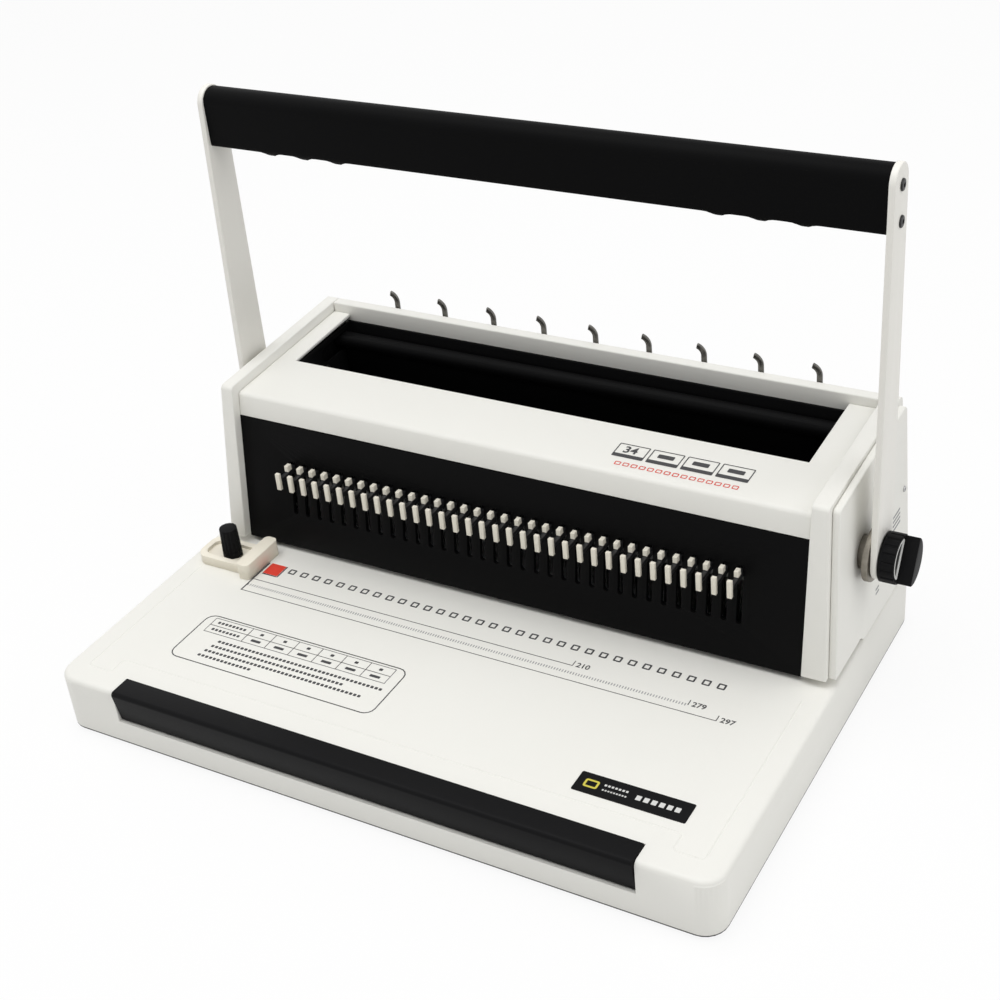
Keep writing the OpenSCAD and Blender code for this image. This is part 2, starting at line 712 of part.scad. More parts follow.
// Shaft between the lever arms, with the two welded drive levers and their pins
module drive_shaft() color("gray") {
    lever_hub_r = 11;
    eye_r = pin_r + 2.2;
    end = 1.6;
    difference() {
        union() {
            x_cyl(arm_left - arm_t - end, arm_right + arm_t, pivot, shaft_r);
            for (x = [-lever_x - plate_t, lever_x]) side(x, x + plate_t) {
                link2(pivot, lever_hub_r, press_pin, eye_r);
                link2(pivot, lever_hub_r, close_pin, eye_r);
            }
            for (s = [-1, 1]) {
                press_x = s < 0 ? -lever_x : lever_x - 4;
                close_x = s < 0 ? -link_x - plate_t - 0.2 : lever_x + plate_t;
                x_cyl(press_x, press_x + 4, press_pin, pin_r);
                x_cyl(close_x, close_x + link_x + plate_t + 0.2 - lever_x - plate_t, close_pin, pin_r);
            }
        }
        x_cyl(in_right, arm_right + arm_t + 1, pivot, spindle_r + run);
    }
}

// Two flat arms, wider at the pivot
module lever_arms() color("antiquewhite") {
    head = pivot + [grip_back, grip_up - pivot_up + (grip_h - grip_d) / 2 - 0.4];
    for (x = [arm_left - arm_t, arm_right]) difference() {
        side(x, x + arm_t) link2(pivot, arm_foot_r, head, arm_head_r);
        x_cyl(x - 1, x + arm_t + 1, pivot, shaft_r + 0.02);
    }
}

// Depth of the finger bumps under the grip at one place along it
function bump(x) = bump_h * max([for (k = [0:2], end = [arm_left + bump_inset, arm_right - bump_inset])
    exp(-pow((x - end - sign(tower_off - end) * k * bump_pitch) / bump_half, 2))]);

// Moulded grip with three finger bumps near each end
module grip() color([0.1, 0.1, 0.1]) {
    mid_y = pivot[0] + grip_back;
    low = fz(grip_up - grip_h / 2);
    high = fz(grip_up + grip_h / 2);
    top_r = grip_d / 2 - 0.5;
    foot_r = 5;
    stations = [for (k = [0:160]) arm_left + (arm_right - arm_left) * k / 160];
    intersection() {
        front(mid_y - grip_d, mid_y + grip_d)
            polygon(concat([[arm_right, high], [arm_left, high]], [for (x = stations) [x, low - bump(x)]]));
        side(arm_left, arm_right) polygon(concat(
            arc([mid_y + grip_d / 2 - top_r, high - top_r], top_r, 0, 90),
            arc([mid_y - grip_d / 2 + top_r, high - top_r], top_r, 90, 180),
            arc([mid_y - grip_d / 2 + foot_r, low - bump_h + foot_r], foot_r, 180, 270),
            arc([mid_y + grip_d / 2 - foot_r, low - bump_h + foot_r], foot_r, 270, 360)));
    }
}

// Notched dial with a finger bar, turning on a spindle inside the shaft
module dial() color([0.08, 0.08, 0.08]) {
    x0 = arm_right + arm_t + 0.5;
    notch_r = 0.9;
    bar_side = 1.2;
    bar_turn = 58;
    rim = 0.6;
    cup = 0.8;
    difference() {
        x_cyl(x0, x0 + dial_t, pivot, dial_dia / 2);
        for (k = [0:dial_notches - 1]) {
            a = k * 360 / dial_notches;
            at = pivot + (dial_dia / 2 + 0.3) * [cos(a), sin(a)];
            x_cyl(x0 + 1.5, x0 + dial_t + 1, at, notch_r, $fn = 16);
        }
        x_cyl(x0 + dial_t - cup, x0 + dial_t + 1, pivot, dial_dia / 2 - 2.2);
    }
    side(x0 + dial_t - cup - 0.5, x0 + dial_t + dial_bar_h)
        translate(pivot) rotate(bar_turn) intersection() {
            circle(dial_dia / 2 - rim);
            translate([-dial_dia / 2, -dial_dia / 2]) square([dial_dia, dial_dia / 2 - bar_side]);
        }
    x_cyl(in_right + 4, x0, pivot, spindle_r);
}

// Round plate behind the right arm, on a sleeve that reaches the side frame
module hub_plate() color("silver") {
    difference() {
        union() {
            x_cyl(in_right, in_right + hub_l, pivot, hub_r);
            x_cyl(in_right + hub_l - hub_plate_t, in_right + hub_l, pivot, hub_plate_r);
        }
        x_cyl(in_right - 1, arm_right, pivot, shaft_r + run);
    }
}

// Steel comb on the rear wall; each finger curls over to hold the wire
module wire_hooks() color("dimgray") {
    strip_t = 1.5;
    finger_w = 3.2;
    strip_low = rim_up - 26.5;
    strip_high = rim_up - 12.5;
    strip_end = 10;
    bend_r = 4;
    bend_up = rim_up + 2.6;
    curl = 75;
    hook_mid = tower_off + 2.5;
    front(rear_out, rear_out + strip_t) {
        polygon([for (s = [[-1, strip_low], [1, strip_low], [1, strip_high], [-1, strip_high]])
            [hook_mid + s[0] * (hook_step * hole_pitch * (hook_count - 1) / 2 + strip_end), fz(s[1])]]);
        for (k = [0:hook_count - 1])
            translate([hook_mid + (k - (hook_count - 1) / 2) * hook_step * hole_pitch, 0]) {
                translate([-finger_w / 2, fz(strip_high - 1)]) square([finger_w, bend_up - strip_high + 1]);
                polygon(concat(
                    arc([-finger_w / 2 - bend_r, fz(bend_up)], bend_r + finger_w, 0, curl),
                    arc([-finger_w / 2 - bend_r, fz(bend_up)], bend_r, curl, 0)));
            }
    }
}

// Sliding pull of one punch: tab, neck, collar and the blade in the press bar
module pull(i) color("antiquewhite") {
    neck_up = blade_up + 0.3;
    neck_h = blade_h - 1.6;
    tab_y = ry(tab_rear);
    collar_y = tab_y + 9.2;
    collar_d = 3.6;
    collar_up = 2.8;
    play = 1;
    translate([hole_x(i), 0, 0]) {
        box([-tab_w / 2, tab_y, fz(tab_up)], [tab_w / 2, tab_y + tab_t, fz(tab_up + tab_h)]);
        box([-pull_w / 2, tab_y + tab_t, fz(neck_up)], [pull_w / 2, collar_y, fz(neck_up + neck_h)]);
        box([-pull_w / 2, collar_y, fz(blade_up + blade_h / 2)],
            [pull_w / 2, collar_y + collar_d, fz(blade_up + blade_h + collar_up)]);
        box([-pull_w / 2, collar_y, fz(blade_up)],
            [pull_w / 2, punch_y + punch_w / 2 - play, fz(blade_up + blade_h)]);
    }
}

base_cover();
bottom_pan();
rubber_feet();
chip_tray();
paper_stop();
stop_knob();
front_panel();
top_cover();
left_cover();
right_cover();
right_shell();
rear_cover();
side_frames();
wire_trough();
closing_bar();
die_plate();
punch_guide();
punches();
press_bar();
return_springs();
drive_shaft();
lever_arms();
grip();
dial();
hub_plate();
wire_hooks();
for (i = [0:hole_count - 1]) pull(i);
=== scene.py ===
import math

import bmesh
import bpy
from mathutils import Euler, Matrix, Vector


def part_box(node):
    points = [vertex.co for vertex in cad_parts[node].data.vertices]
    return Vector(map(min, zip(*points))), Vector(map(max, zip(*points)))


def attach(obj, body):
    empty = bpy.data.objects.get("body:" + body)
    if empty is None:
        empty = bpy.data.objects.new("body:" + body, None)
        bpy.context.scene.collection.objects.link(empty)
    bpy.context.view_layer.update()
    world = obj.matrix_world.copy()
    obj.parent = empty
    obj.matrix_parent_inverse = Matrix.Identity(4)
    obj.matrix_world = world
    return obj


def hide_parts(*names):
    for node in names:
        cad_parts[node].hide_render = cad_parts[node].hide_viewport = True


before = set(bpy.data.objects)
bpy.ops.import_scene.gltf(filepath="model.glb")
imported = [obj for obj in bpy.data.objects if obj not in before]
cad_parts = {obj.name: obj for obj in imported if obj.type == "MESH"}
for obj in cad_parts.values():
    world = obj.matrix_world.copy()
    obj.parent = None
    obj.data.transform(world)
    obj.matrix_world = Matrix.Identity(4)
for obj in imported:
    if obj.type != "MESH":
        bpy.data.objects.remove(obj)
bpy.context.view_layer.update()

# Camera: it stands to the right of the machine and looks down on its front.
# A portrait lens, slightly rolled, as the picture was taken by hand.
scene = bpy.context.scene
eye = bpy.data.cameras.new("eye")
eye.sensor_width = 36.0
eye.lens = 61.9
eye.clip_start = 0.01
eye_object = bpy.data.objects.new("eye", eye)
eye_object.location = (0.4250, -0.6411, 0.6020)
eye_object.rotation_euler = Euler([math.radians(a) for a in (57.3786, 5.0847, 29.2703)])
scene.collection.objects.link(eye_object)
scene.camera = eye_object


# Base cover: one warm white moulding with a fine spark-eroded grain and a soft edge all round.
# A shallow bead runs inside its left, front and right edges and steps back behind the tray strip.
# The cover is screwed up from below through the pan.
class Wire:
    """A shader socket; arithmetic on it adds Math nodes to its own tree."""

    def __init__(self, tree, socket):
        self.tree = tree
        self.socket = socket

    def math(self, operation, *values):
        return Wire.node(self.tree, "ShaderNodeMath", {"operation": operation}, dict(enumerate(values)))

    @staticmethod
    def node(tree, kind, settings=None, sockets=None, out=0):
        made = tree.nodes.new(kind)
        for key, value in (settings or {}).items():
            setattr(made, key, value)
        for key, value in (sockets or {}).items():
            if isinstance(value, Wire):
                tree.links.new(value.socket, made.inputs[key])
            else:
                made.inputs[key].default_value = value
        return Wire(tree, made.outputs[out])

    def __add__(self, other):
        return self.math("ADD", self, other)

    def __sub__(self, other):
        return self.math("SUBTRACT", self, other)

    def __mul__(self, other):
        return self.math("MULTIPLY", self, other)

    def __radd__(self, other):
        return self.math("ADD", other, self)

    def __rsub__(self, other):
        return self.math("SUBTRACT", other, self)

    def __rmul__(self, other):
        return self.math("MULTIPLY", other, self)

    def above(self, level):
        return self.math("GREATER_THAN", self, level)

    def clamp(self):
        return self.math("MINIMUM", self.math("MAXIMUM", self, 0.0), 1.0)


def material(name, look):
    """A new material; look(tree, place, surface) fills in its nodes."""
    made = bpy.data.materials.new(name)
    made.use_nodes = True
    tree = made.node_tree
    surface = tree.nodes["Principled BSDF"]
    place = Wire(tree, tree.nodes.new("ShaderNodeTexCoord").outputs["Object"])
    look(tree, place, surface)
    return made


def grain(tree, place, scale, detail=2.0, rough=0.5):
    return Wire.node(tree, "ShaderNodeTexNoise", {}, {
        "Vector": place, "Scale": scale, "Detail": detail, "Roughness": rough}, "Fac")


def feed(tree, surface, socket, wire):
    tree.links.new(wire.socket, surface.inputs[socket])


def mixed(tree, factor, first, second):
    """Two colours, each a triple or a Wire, mixed by a factor."""
    ends = {"A": first, "B": second}
    for key, colour in ends.items():
        if not isinstance(colour, Wire):
            ends[key] = (*colour, 1.0)
    return Wire.node(tree, "ShaderNodeMix", {"data_type": "RGBA"}, {"Factor": factor, **ends}, 2)


def bumped(tree, surface, height, strength, distance):
    feed(tree, surface, "Normal", Wire.node(tree, "ShaderNodeBump", {}, {
        "Strength": strength, "Distance": distance, "Height": height}, "Normal"))


def moulded(dark, light, rough, grain_scale, depth, shine=0.5):
    """Injection-moulded plastic: slow cloudiness in the colour, fine eroded grain in the surface."""
    def look(tree, place, surface):
        cloud = grain(tree, place, 9.0, 3.0)
        fine = grain(tree, place, grain_scale, 2.0, 0.6)
        surface.inputs["Specular IOR Level"].default_value = shine
        feed(tree, surface, "Base Color", mixed(tree, cloud * 0.7 + fine * 0.3, dark, light))
        feed(tree, surface, "Roughness", (rough - 0.05) + fine * 0.1 + cloud * 0.04)
        bumped(tree, surface, fine, 0.35, depth)
    return look


def piece_of(name, mesh, finish, body):
    """An object made of a finished mesh, at the origin, riding on a body."""
    made = bpy.data.objects.new(name, mesh)
    scene.collection.objects.link(made)
    mesh.materials.clear()
    mesh.materials.append(finish)
    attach(made, body)
    return made


def softened(node, name, width, body, finish, angle=32.0, segments=3):
    """A copy of a solid with its sharp edges rounded over, standing for that solid."""
    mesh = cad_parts[node].data.copy()
    form = bmesh.new()
    form.from_mesh(mesh)
    bmesh.ops.remove_doubles(form, verts=form.verts, dist=1e-6)
    bmesh.ops.dissolve_limit(form, angle_limit=math.radians(0.4), verts=form.verts, edges=form.edges)
    form.to_mesh(mesh)
    form.free()
    raw = bpy.data.objects.new(name + "_raw", mesh)
    scene.collection.objects.link(raw)
    bevel = raw.modifiers.new("edges", "BEVEL")
    bevel.width = width
    bevel.segments = segments
    bevel.limit_method = "ANGLE"
    bevel.angle_limit = math.radians(angle)
    done = bpy.data.meshes.new_from_object(raw.evaluated_get(bpy.context.evaluated_depsgraph_get()))
    bpy.data.objects.remove(raw)
    done.shade_smooth()
    done.set_sharp_from_angle(angle=math.radians(40.0))
    piece = piece_of(name, done, finish, body)
    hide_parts(node)
    return piece


def tube(name, points, radius, closed=False):
    """A round bead along a path, as a plain mesh."""
    path = bpy.data.curves.new(name, "CURVE")
    path.dimensions = "3D"
    path.bevel_depth = radius
    path.bevel_resolution = 2
    path.use_fill_caps = True
    line = path.splines.new("POLY")
    line.points.add(len(points) - 1)
    for point, place in zip(line.points, points):
        point.co = (*place, 1.0)
    line.use_cyclic_u = closed
    holder = bpy.data.objects.new(name, path)
    scene.collection.objects.link(holder)
    mesh = bpy.data.meshes.new_from_object(holder.evaluated_get(bpy.context.evaluated_depsgraph_get()))
    bpy.data.objects.remove(holder)
    mesh.shade_smooth()
    return mesh


def bend(middle, radius, start, stop, steps=6):
    """Points of an arc in plan, angles in degrees."""
    turns = [math.radians(start + (stop - start) * k / steps) for k in range(steps + 1)]
    return [(middle[0] + radius * math.cos(a), middle[1] + radius * math.sin(a)) for a in turns]


shell_dark = (0.79, 0.782, 0.735)
shell_light = (0.845, 0.838, 0.795)
white_shell = material("white_shell", moulded(shell_dark, shell_light, 0.5, 1500.0, 0.00012, 0.4))
softened("base_cover", "base_moulding", 0.0008, "frame", white_shell)

base_low, base_high = (Vector(corner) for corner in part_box("base_cover"))
base_top = base_high.z
bead_x = base_high.x - 0.0125
bead_front = base_low.y + 0.0145
bead_behind = base_low.y + 0.0260
bead_jog = 0.1680
bead_turn = 0.0025
bead_end = -0.001
bead_radius = 0.00055
bead_sunk = 0.0003
half_bead = [(-bead_x, bead_end)]
half_bead += bend((-bead_x + bead_turn, bead_front + bead_turn), bead_turn, 180, 270)
half_bead += bend((-bead_jog - bead_turn, bead_front + bead_turn), bead_turn, 270, 360)
half_bead += bend((-bead_jog + bead_turn, bead_behind - bead_turn), bead_turn, 180, 90)
bead_path = half_bead + [(-x, y) for x, y in reversed(half_bead)]
bead_line = [(x, y, base_top - bead_sunk) for x, y in bead_path]
piece_of("base_bead", tube("base_bead", bead_line, bead_radius), white_shell, "frame")

# Bottom pan and feet: a dark painted steel floor plate, let into the foot of the cover.
# A thin dark bead runs just below the white all round. It stands for the pan's rolled edge and for the
# contact shadow on the floor there, so it is partly a painted shadow; the rubber feet are pressed into the
# pan.
pan_paint = material("pan_paint", moulded((0.05, 0.05, 0.052), (0.07, 0.07, 0.072), 0.5, 900.0, 0.0001))
foot_rubber = material("foot_rubber", moulded((0.02, 0.02, 0.02), (0.035, 0.035, 0.035), 0.8, 700.0,
                                              0.0002))
softened("bottom_pan", "pan_sheet", 0.0004, "frame", pan_paint, segments=2)
softened("rubber_feet", "foot_pads", 0.0006, "frame", foot_rubber)
# The bead below the cover's foot: the pan's edge together with a painted shadow line.
hem_shadow_radius = 0.0006
hem_shadow_turn = 0.012
hem_shadow_mid = (base_high.x - hem_shadow_turn, base_high.y - hem_shadow_turn)
hem_shadow_path = []
for side_x, side_y, start in ((1, 1, 0), (-1, 1, 90), (-1, -1, 180), (1, -1, 270)):
    hem_shadow_path += bend((side_x * hem_shadow_mid[0], side_y * hem_shadow_mid[1]), hem_shadow_turn - hem_shadow_radius, start, start + 90)
hem_shadow_line = [(x, y, base_low.z - hem_shadow_radius) for x, y in hem_shadow_path]
piece_of("pan_hem", tube("pan_hem", hem_shadow_line, hem_shadow_radius, True), pan_paint, "frame")


# Pan screws: button heads with a hexagon socket, in two rows that hold the pan to the cover.
# Rolled steel, blackened in oil. One row maker sets every repeated piece of the machine.
def button_head(radius, height):
    """A screw head with its axis on Z, standing on the origin."""
    rim = [(radius, -0.2 * height), (radius, 0.55 * height), (radius * 0.9, 0.85 * height),
           (radius * 0.55, height)]
    socket = 0.42 * radius * math.cos(math.pi / 6)
    count = 24
    form = bmesh.new()
    rings = []
    for reach, rise in rim + [(None, height), (None, 0.35 * height)]:
        ring = []
        for k in range(count):
            turn = 2 * math.pi * k / count
            out = reach
            if reach is None:
                out = socket / math.cos((turn % (math.pi / 3)) - math.pi / 6)
            ring.append(form.verts.new((out * math.cos(turn), out * math.sin(turn), rise)))
        rings.append(ring)
    for lower, upper in zip(rings, rings[1:]):
        for k in range(count):
            form.faces.new((lower[k], lower[(k + 1) % count], upper[(k + 1) % count], upper[k]))
    form.faces.new(rings[-1])
    form.faces.new(list(reversed(rings[0])))
    mesh = bpy.data.meshes.new("button_head")
    form.to_mesh(mesh)
    form.free()
    mesh.shade_smooth()
    mesh.set_sharp_from_angle(angle=math.radians(35.0))
    return mesh


row_tree = bpy.data.node_groups.new("row_of_pieces", "GeometryNodeTree")
row_tree.interface.new_socket("Geometry", in_out="OUTPUT", socket_type="NodeSocketGeometry")
row_inputs = {}
for socket_name, socket_type in (("Piece", "NodeSocketObject"), ("Count", "NodeSocketInt"),
                                 ("First", "NodeSocketVector"), ("Step", "NodeSocketVector"),
                                 ("Finish", "NodeSocketMaterial")):
    row_inputs[socket_name] = row_tree.interface.new_socket(
        socket_name, in_out="INPUT", socket_type=socket_type).identifier
row_in = row_tree.nodes.new("NodeGroupInput")
row_out = row_tree.nodes.new("NodeGroupOutput")
row_line = row_tree.nodes.new("GeometryNodeMeshLine")
row_shape = row_tree.nodes.new("GeometryNodeObjectInfo")
row_set = row_tree.nodes.new("GeometryNodeInstanceOnPoints")
row_real = row_tree.nodes.new("GeometryNodeRealizeInstances")
row_paint = row_tree.nodes.new("GeometryNodeSetMaterial")
for start, end in ((row_in.outputs["Count"], row_line.inputs["Count"]),
                   (row_in.outputs["First"], row_line.inputs["Start Location"]),
                   (row_in.outputs["Step"], row_line.inputs["Offset"]),
                   (row_in.outputs["Piece"], row_shape.inputs["Object"]),
                   (row_line.outputs["Mesh"], row_set.inputs["Points"]),
                   (row_shape.outputs["Geometry"], row_set.inputs["Instance"]),
                   (row_set.outputs["Instances"], row_real.inputs["Geometry"]),
                   (row_real.outputs["Geometry"], row_paint.inputs["Geometry"]),
                   (row_in.outputs["Finish"], row_paint.inputs["Material"]),
                   (row_paint.outputs["Geometry"], row_out.inputs["Geometry"])):
    row_tree.links.new(start, end)


def row_of(name, shape, count, first, step, finish, body):
    """One shape set again and again along a straight line, as one plain mesh."""
    shape_object = bpy.data.objects.new(name + "_shape", shape)
    holder = bpy.data.objects.new(name + "_row", bpy.data.meshes.new(name))
    for made in (shape_object, holder):
        scene.collection.objects.link(made)
    modifier = holder.modifiers.new("row", "NODES")
    modifier.node_group = row_tree
    for key, value in (("Piece", shape_object), ("Count", count), ("First", first), ("Step", step),
                       ("Finish", finish)):
        modifier[row_inputs[key]] = value
    mesh = bpy.data.meshes.new_from_object(holder.evaluated_get(bpy.context.evaluated_depsgraph_get()))
    holder.modifiers.remove(modifier)
    bpy.data.objects.remove(holder)
    bpy.data.objects.remove(shape_object)
    return piece_of(name, mesh, finish, body)


def oiled(tree, place, surface):
    worn = grain(tree, place, 400.0, 3.0, 0.6)
    surface.inputs["Metallic"].default_value = 1.0
    feed(tree, surface, "Base Color", mixed(tree, worn, (0.02, 0.02, 0.021), (0.07, 0.07, 0.07)))
    feed(tree, surface, "Roughness", 0.32 + worn * 0.2)
    bumped(tree, surface, worn, 0.15, 0.00004)


black_screw = material("black_screw", oiled)
pan_low, pan_high = (Vector(corner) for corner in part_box("bottom_pan"))
pan_head = button_head(0.0032, 0.0014)
pan_head.transform(Matrix.Rotation(math.pi, 4, "X"))
pan_screw_in = 0.012
pan_screw_first = -0.12
pan_screw_pitch = 0.08
for side, y in (("front", pan_low.y + pan_screw_in), ("rear", pan_high.y - pan_screw_in)):
    row_of("pan_screws_" + side, pan_head.copy(), 4, (pan_screw_first, y, pan_low.z),
           (pan_screw_pitch, 0.0, 0.0), black_screw, "frame")

# Chip tray: a black moulded drawer that runs on two rails of the pan.
# Its front strip folds over the edge of the base and takes the fingers.
black_plastic = material("black_plastic", moulded((0.0055, 0.0055, 0.006), (0.0095, 0.0095, 0.010), 0.44,
                                                  1300.0, 0.0001, 0.05))
softened("chip_tray", "tray_moulding", 0.0005, "tray", black_plastic)

# Paper stop and clamp knob: a cream moulding that slides along the base, just clear of the print.
# A fluted black knob on a steel stem holds it where it is set.
cream_plastic = material("cream_plastic", moulded((0.84, 0.79, 0.67), (0.89, 0.84, 0.72), 0.42, 1400.0,
                                                  0.0001))
stop_moulding = softened("paper_stop", "paper_stop_moulding", 0.001, "stop",
                         cream_plastic)
print_gap = 0.00008
for vertex in stop_moulding.data.vertices:
    vertex.co.z = max(vertex.co.z, base_top + print_gap)
softened("stop_knob", "knob_moulding", 0.0005, "knob", black_plastic)


# Print on the base: the row of hole marks, the start mark and the sheet lengths.
# Silk-screened ink, a few hundredths of a millimetre thick, on the bare moulding.
def plate_outline(width, depth, turn):
    points = []
    for middle, start in (((1, 1), 0), ((-1, 1), 90), ((-1, -1), 180), ((1, -1), 270)):
        corner = (middle[0] * (width / 2 - turn), middle[1] * (depth / 2 - turn))
        points += bend(corner, turn, start, start + 90, 4)
    return points


def flat_plate(width, depth, thick, turn):
    """A thin plate with round corners, its underside on the origin."""
    form = bmesh.new()
    outline = plate_outline(width, depth, turn)
    rings = [[form.verts.new((x, y, z)) for x, y in outline] for z in (0.0, thick)]
    form.faces.new(rings[1])
    form.faces.new(list(reversed(rings[0])))
    count = len(rings[0])
    for k in range(count):
        form.faces.new((rings[0][k], rings[0][(k + 1) % count], rings[1][(k + 1) % count], rings[1][k]))
    mesh = bpy.data.meshes.new("flat_plate")
    form.to_mesh(mesh)
    form.free()
    return mesh


def flat_frame(width, depth, line, thick, turn):
    """A thin printed outline with round corners, its underside on the origin."""
    form = bmesh.new()
    outer = plate_outline(width, depth, turn)
    inner = plate_outline(width - 2 * line, depth - 2 * line, max(turn - line, 0.00005))
    low_out, high_out, high_in, low_in = ([form.verts.new((x, y, z)) for x, y in loop] for loop, z in (
        (outer, 0.0), (outer, thick), (inner, thick), (inner, 0.0)))
    count = len(outer)
    loops = (low_out, high_out, high_in, low_in, low_out)
    for first, second in zip(loops, loops[1:]):
        for k in range(count):
            form.faces.new((first[k], first[(k + 1) % count], second[(k + 1) % count], second[k]))
    mesh = bpy.data.meshes.new("flat_frame")
    form.to_mesh(mesh)
    form.free()
    return mesh


def printed(dark, light):
    """Screen ink: slightly uneven cover, dull."""
    def look(tree, place, surface):
        patch = grain(tree, place, 700.0, 3.0, 0.6)
        surface.inputs["Specular IOR Level"].default_value = 0.3
        feed(tree, surface, "Base Color", mixed(tree, patch, dark, light))
        feed(tree, surface, "Roughness", 0.55 + patch * 0.15)
    return look


def figures(name, text, place, size, finish, body, tilt=0.0):
    """Plain numbers, as a thin mesh on a face that is level or tilted to the rear."""
    letters = bpy.data.curves.new(name, "FONT")
    letters.body = text
    letters.size = size
    letters.extrude = ink / 2
    letters.offset = size * 0.02
    letters.resolution_u = 3
    holder = bpy.data.objects.new(name, letters)
    scene.collection.objects.link(holder)
    mesh = bpy.data.meshes.new_from_object(holder.evaluated_get(bpy.context.evaluated_depsgraph_get()))
    bpy.data.objects.remove(holder)
    mesh.transform(Matrix.Translation(place) @ Matrix.Rotation(tilt, 4, "X"))
    return piece_of(name, mesh, finish, body)


def base_print(name, shape, count, x, y, pitch, finish):
    """A row of one printed shape, from left to right on the base."""
    return row_of(name, shape, count, (x, y, ink_z), (pitch, 0.0, 0.0), finish, "frame")


ink = 0.00006
ink_z = base_top - 0.00001
grey_ink = material("grey_ink", printed((0.03, 0.03, 0.032), (0.075, 0.075, 0.078)))
light_ink = material("light_ink", printed((0.26, 0.26, 0.265), (0.38, 0.38, 0.385)))
red_ink = material("red_ink", printed((0.62, 0.035, 0.02), (0.74, 0.06, 0.035)))
hole_pitch = 0.0084667
row_middle = 0.0028
mark_y = -0.0058
mark_side = 0.0046
base_print("hole_marks", flat_frame(mark_side, mark_side, 0.0010, ink, 0.0007), 33,
           row_middle - 15.5 * hole_pitch, mark_y, hole_pitch, grey_ink)
start_x = -0.1399
start_y = -0.0078
start_side = 0.0102
bold_line = 0.0009
base_print("start_mark", flat_plate(start_side, start_side, ink, 0.0003), 1, start_x, start_y, 0.0, red_ink)
base_print("start_edge_right", flat_plate(bold_line, 0.0110, ink, 0.0002), 1, start_x + 0.0057,
           start_y - 0.0004, 0.0, grey_ink)
base_print("start_edge_front", flat_plate(0.0100, bold_line, ink, 0.0002), 1, start_x + 0.0001,
           start_y - 0.0057, 0.0, grey_ink)
stop_line = -0.1467
thin_line = 0.0005
tick_long = 0.0042
dot_pitch = 0.0016
for length, y, dotted in ((210, -0.0201, False), (279, -0.0259, True), (297, -0.0317, False)):
    span = length * 0.001
    end = stop_line + span
    if dotted:
        base_print("length_line_%d" % length, flat_plate(0.0006, 0.0020, ink, 0.0002), int(span / dot_pitch),
                   stop_line + dot_pitch / 2, y, dot_pitch, light_ink)
    else:
        base_print("length_line_%d" % length, flat_plate(span, thin_line, ink, 0.0001), 1,
                   stop_line + span / 2, y, 0.0, grey_ink)
    base_print("length_end_%d" % length, flat_plate(thin_line, tick_long, ink, 0.0001), 1, end,
               y + tick_long / 2, 0.0, grey_ink)
    figures("length_figures_%d" % length, str(length), (end + 0.0018, y - 0.0002, ink_z + ink / 2), 0.0052,
            grey_ink, "frame")
base_print("stop_line", flat_plate(bold_line, 0.0290, ink, 0.0001), 1, stop_line, -0.0175, 0.0, grey_ink)

# Setting table on the base: a round-cornered printed box with a ruled head.
# The words are left out; plain bars of ink stand in their places.
table_low = Vector((-0.1487, -0.0980))
table_high = Vector((-0.0147, -0.0580))
table_mid = (table_low + table_high) / 2
table_size = table_high - table_low
base_print("table_box", flat_frame(table_size.x, table_size.y, 0.0007, ink, 0.006), 1, table_mid.x,
           table_mid.y, 0.0, grey_ink)
rule = 0.0004
cell_w = 0.0158
cell_d = 0.0062
head_w = 0.0260
head_x = table_low.x + 0.0060 + head_w / 2
first_x = head_x + head_w / 2 + cell_w / 2
block_tall = 0.0019
block_turn = 0.0004
for line in range(2):
    cell_y = table_high.y - 0.0052 - line * cell_d
    base_print("table_cells_%d" % line, flat_frame(cell_w + rule, cell_d + rule, rule, ink, 0.0002), 6,
               first_x, cell_y, cell_w, grey_ink)
    base_print("table_heads_%d" % line, flat_frame(head_w + rule, cell_d + rule, rule, ink, 0.0002), 1,
               head_x, cell_y, 0.0, grey_ink)
    base_print("table_head_marks_%d" % line, flat_plate(0.0017, block_tall, ink, block_turn), 8,
               head_x - 0.0088, cell_y, 0.0025, grey_ink)
    base_print("table_entries_%d" % line, flat_plate(0.0022 + 0.0042 * line, block_tall, ink, block_turn), 6,
               first_x, cell_y, cell_w, grey_ink)
for line, marks in enumerate((42, 34, 40, 14)):
    base_print("table_marks_%d" % line, flat_plate(0.0018, block_tall, ink, block_turn), marks,
               table_low.x + 0.0210 - 0.0012 * line, table_high.y - 0.0196 - line * 0.0046, 0.0026, grey_ink)

# Nameplate place: a thin black plate with round corners, stuck to the front of the base.
# It carries no name, only plain bars.
plate_mid = (0.1362, -0.0984)
label_black = material("label_black", moulded((0.006, 0.006, 0.0065), (0.010, 0.010, 0.0105), 0.45,
                                              600.0, 0.00004, 0.05))
pale_ink = material("pale_ink", printed((0.60, 0.60, 0.58), (0.72, 0.72, 0.70)))
yellow_ink = material("yellow_ink", printed((0.55, 0.48, 0.05), (0.68, 0.60, 0.10)))
label_thick = 0.0003
row_of("plain_label", flat_plate(0.0602, 0.0138, label_thick, 0.0008), 1, (*plate_mid, ink_z),
       (0.0, 0.0, 0.0), label_black, "frame")
row_of("label_emblem", flat_frame(0.0075, 0.0056, 0.0011, label_thick + ink, 0.0012), 1,
       (plate_mid[0] - 0.0222, plate_mid[1], ink_z), (0.0, 0.0, 0.0), yellow_ink, "frame")
for name, x, y, width, depth, count, pitch in (("upper", -0.0152, 0.0017, 0.0012, 0.0013, 7, 0.0019),
                                               ("lower", -0.0152, -0.0017, 0.0009, 0.0010, 9, 0.0015),
                                               ("large", 0.0030, 0.0, 0.0027, 0.0032, 6, 0.0041)):
    row_of("label_blocks_" + name, flat_plate(width, depth, label_thick + ink, 0.0002), count,
           (plate_mid[0] + x, plate_mid[1] + y, ink_z), (pitch, 0.0, 0.0), pale_ink, "frame")


